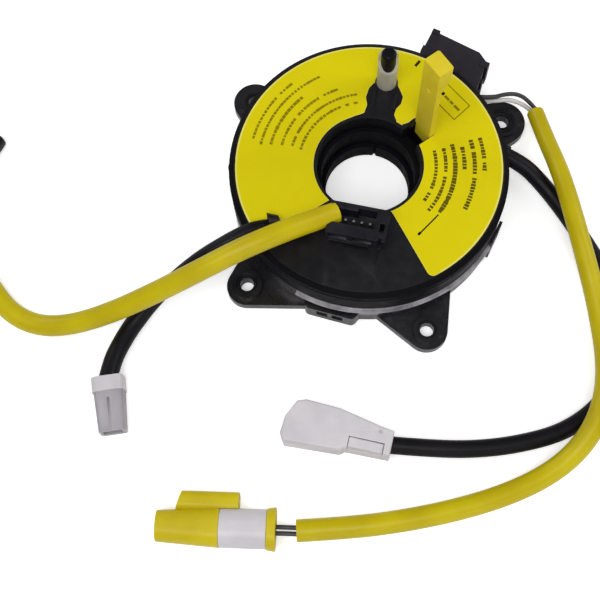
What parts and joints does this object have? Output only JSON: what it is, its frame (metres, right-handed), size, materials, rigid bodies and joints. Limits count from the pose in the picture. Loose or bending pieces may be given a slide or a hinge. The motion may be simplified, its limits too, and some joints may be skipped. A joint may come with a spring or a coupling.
{
  "type": "steering clock spring",
  "caption": "Flat rotary connector between steering column and wheel: eared ring case, turning rotor with label, socket, post and transit lock, and cabled plugs.",
  "frame": {"origin": "on the bore's axis, in the plane of the ears' undersides, which is also the plane the part lies on", "axes": "+Z along the steering axis towards the wheel; +X towards the wiring outlet's side; +Y away from the switch connector"},
  "size_m": [0.2602, 0.1951, 0.0706],
  "materials": {
    "case_black": "semi-gloss",
    "outlet_black": "satin",
    "rotor_black": "gloss",
    "connector_black": "satin",
    "label_yellow": "gloss",
    "lock_yellow": "satin",
    "post_sleeve_white": "milky",
    "sleeve_yellow": "satin",
    "plug_yellow": "satin",
    "plug_white": "satin",
    "plug_black": "satin",
    "lead_black": "satin",
    "wire_grey": "satin",
    "wire_white": "satin",
    "contact_metal": "tinned",
    "carrier_white": "matte",
    "slip_sheet_white": "matte",
    "flat_cable_film": "film"
  },
  "bodies": {
    "stator": {"base_plate": "case_black", "case_ring": "case_black", "outlet_housing": "outlet_black", "outlet_cover": "outlet_black", "terminal_carrier": "carrier_white", "outlet_terminals": "contact_metal", "lower_slip_sheet": "slip_sheet_white", "flat_cable": "flat_cable_film", "outer_cable_clamp": "carrier_white", "body_lead_grommet": "lead_black", "body_lead": "lead_black", "body_plug_housing": "plug_white", "body_plug_retainer": "plug_white", "body_plug_terminals": "contact_metal", "column_airbag_wire_a": "wire_grey", "column_airbag_wire_b": "wire_white", "column_airbag_sleeve": "sleeve_yellow", "column_airbag_tail": "wire_grey", "column_airbag_plug_cap": "plug_yellow", "column_airbag_plug_collar": "plug_white", "column_airbag_plug_body": "plug_yellow", "horn_plug_housing": "plug_white", "horn_plug_terminals": "contact_metal", "wheel_airbag_plug": "plug_black"},
    "rotor": {"rotor": "rotor_black", "upper_slip_sheet": "slip_sheet_white", "switch_connector": "connector_black", "connector_pins": "contact_metal", "lead_outlet": "rotor_black", "post": "rotor_black", "post_sleeve": "post_sleeve_white", "hub_retainer": "case_black", "label": "label_yellow", "inner_cable_clamp": "carrier_white", "wheel_airbag_sleeve": "sleeve_yellow", "horn_lead": "lead_black"},
    "lock": {"lock_tab": "lock_yellow"}
  },
  "joints": [
    {"name": "rotor_turn", "type": "hinge", "parent": "stator", "child": "rotor", "pos_m": [0, 0, 0], "axis": [0, 0, 1], "range_deg": [-720, 720], "deforming": ["flat_cable", "wheel_airbag_sleeve", "horn_lead"]},
    {"name": "lock_pull", "type": "slide", "parent": "rotor", "child": "lock", "axis": [0, 0, 1], "range_m": [0, 0.03]}
  ]
}
